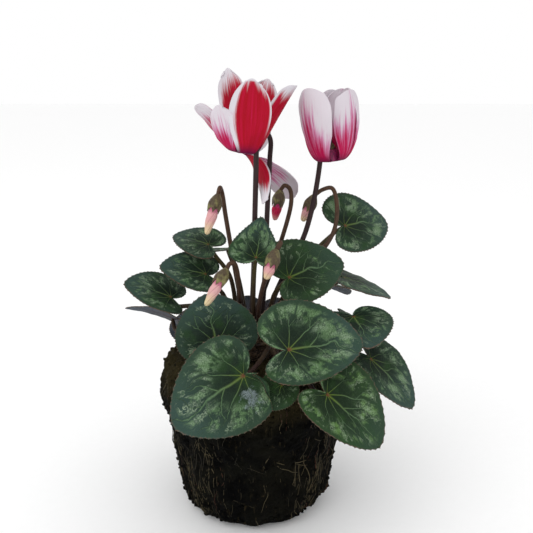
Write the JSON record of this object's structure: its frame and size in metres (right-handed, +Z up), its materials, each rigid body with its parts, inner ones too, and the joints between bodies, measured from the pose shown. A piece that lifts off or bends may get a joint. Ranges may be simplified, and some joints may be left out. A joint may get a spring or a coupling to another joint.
{
  "type": "potted cyclamen",
  "caption": "Flowering cyclamen plant standing on its bare pot-shaped root ball, with heart-shaped marbled leaves, hooked buds and red and white flowers.",
  "frame": {"origin": "centre of the flat underside of the root ball, on the surface that the plant stands on", "axes": "+Z up; the plant's front, the side the picture shows, faces -Y; +X is to the viewer's right"},
  "size_m": [0.1523, 0.1365, 0.2339],
  "materials": {
    "soil": "matte, moist fibrous peat",
    "tuber": "matte, corky",
    "leaf": "semi-matte, waxy",
    "petal": "soft satin",
    "flower_stalk": "semi-matte, downy",
    "bud_stalk": "semi-matte, downy",
    "bud": "soft satin"
  },
  "bodies": {
    "root": {"root_ball": "soil", "tuber": "tuber", "leaf_01": "leaf", "leaf_02": "leaf", "leaf_03": "leaf", "leaf_04": "leaf", "leaf_05": "leaf", "leaf_06": "leaf", "leaf_07": "leaf", "leaf_08": "leaf", "leaf_09": "leaf", "leaf_10": "leaf", "leaf_11": "leaf", "leaf_12": "leaf", "leaf_13": "leaf", "leaf_14": "leaf", "leaf_15": "leaf", "leaf_16": "leaf", "leaf_17": "leaf", "leaf_18": "leaf", "leaf_19": "leaf", "leaf_20": "leaf", "leaf_21": "leaf", "leaf_22": "leaf", "leaf_23": "leaf", "flower_stalk_1": "flower_stalk", "flower_1": "petal", "flower_stalk_2": "flower_stalk", "flower_2": "petal", "flower_stalk_3": "flower_stalk", "flower_3": "petal", "bud_stalk_1": "bud_stalk", "bud_1": "bud", "bud_stalk_2": "bud_stalk", "bud_2": "bud", "bud_stalk_3": "bud_stalk", "bud_3": "bud", "bud_stalk_4": "bud_stalk", "bud_4": "bud", "bud_stalk_5": "bud_stalk", "bud_5": "bud"}
  },
  "joints": []
}
